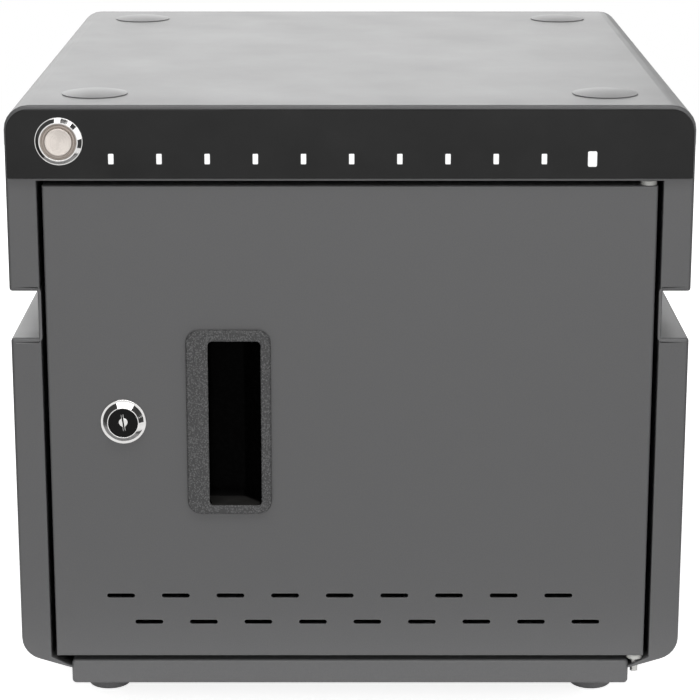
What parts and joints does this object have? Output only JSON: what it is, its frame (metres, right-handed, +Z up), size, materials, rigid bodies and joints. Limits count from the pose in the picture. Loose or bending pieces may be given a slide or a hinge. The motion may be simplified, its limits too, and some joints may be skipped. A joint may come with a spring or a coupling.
{
  "type": "charging cabinet",
  "caption": "Low steel desktop cabinet with a lockable side-hinged door, device slots with charging sockets inside, a lit front strip and grip grooves along both sides.",
  "frame": {"origin": "on the floor under the middle of the cabinet's box", "axes": "+Z up, -Y out of the door, +X towards the hinged side of the door"},
  "size_m": [0.35, 0.3946, 0.3292],
  "materials": {
    "case_paint": "fine-textured satin grey powder coat",
    "door_paint": "fine-textured satin grey powder coat",
    "inner_paint": "satin grey powder coat",
    "fascia_black": "polished black acrylic",
    "light_white": "clear light pipe, reads white",
    "chrome_trim": "bright plated",
    "brushed_steel": "spun or brushed steel",
    "zinc_steel": "zinc plated",
    "plug_black": "black lacquered lock plug",
    "ring_frost": "frosted light ring",
    "handle_plastic": "pebble-grained black moulding",
    "pad_grey": "grey moulded pad",
    "foot_rubber": "black rubber",
    "rack_plastic": "black moulded plastic",
    "bush_plastic": "natural bearing plastic",
    "fan_plastic": "black moulded plastic",
    "guard_wire": "bright plated wire",
    "inlet_plastic": "black moulded plastic",
    "board_green": "green circuit board",
    "core_ferrite": "wound ferrite core"
  },
  "bodies": {
    "cabinet": {"outer_shell": "case_paint", "base_pan": "case_paint", "foot_screws": "zinc_steel", "stacking_pads": "pad_grey", "front_fascia": "fascia_black", "light_pipes": "light_white", "board_leds": "light_white", "led_board": "board_green", "led_board_posts": "zinc_steel", "button_bezel": "chrome_trim", "button_light_ring": "ring_frost", "button_nut": "zinc_steel", "button_switch": "fan_plastic", "lower_hinge_pin": "brushed_steel", "upper_hinge_pin": "brushed_steel", "inner_liner": "inner_paint", "inner_deck": "inner_paint", "inner_rear_wall": "inner_paint", "front_divider_rail": "rack_plastic", "rear_divider_rail": "rack_plastic", "back_comb": "rack_plastic", "charging_sockets": "brushed_steel", "charging_board": "board_green", "charging_board_posts": "zinc_steel", "psu_chassis": "zinc_steel", "psu_cover": "zinc_steel", "psu_board": "board_green", "psu_transformer": "core_ferrite", "rear_panel": "case_paint", "rear_panel_screws": "zinc_steel", "fan_housing": "fan_plastic", "fan_guard": "guard_wire", "fan_screws": "zinc_steel", "power_inlet": "inlet_plastic", "inlet_screws": "zinc_steel", "foot_front_left": "foot_rubber", "foot_front_right": "foot_rubber", "foot_rear_left": "foot_rubber", "foot_rear_right": "foot_rubber", "divider_1": "rack_plastic", "divider_2": "rack_plastic", "divider_3": "rack_plastic", "divider_4": "rack_plastic", "divider_5": "rack_plastic", "divider_6": "rack_plastic", "divider_7": "rack_plastic", "divider_8": "rack_plastic", "divider_9": "rack_plastic"},
    "door": {"door_panel": "door_paint", "handle_cup": "handle_plastic", "lock_housing": "chrome_trim", "lock_nut": "zinc_steel", "hinge_bushes": "bush_plastic"},
    "lock": {"lock_plug": "plug_black", "lock_cam": "zinc_steel", "cam_screw": "zinc_steel"},
    "power_button": {"button_cap": "brushed_steel"},
    "fan": {"fan_rotor": "fan_plastic"}
  },
  "joints": [
    {"name": "door_hinge", "type": "hinge", "parent": "cabinet", "child": "door", "pos_m": [0.1522, -0.1873, 0.0307], "axis": [0, 0, 1], "range_deg": [0, 105]},
    {"name": "lock_turn", "type": "hinge", "parent": "door", "child": "lock", "pos_m": [-0.1179, -0.1919, 0.1613], "axis": [0, 1, 0], "range_deg": [0, 90]},
    {"name": "power_button_press", "type": "slide", "parent": "cabinet", "child": "power_button", "axis": [0, 1, 0], "range_m": [0, 0.0015], "stiffness_N_per_m": 800},
    {"name": "fan_spin", "type": "hinge", "parent": "cabinet", "child": "fan", "pos_m": [0.09, 0.1919, 0.13], "axis": [0, 1, 0], "continuous": true}
  ]
}
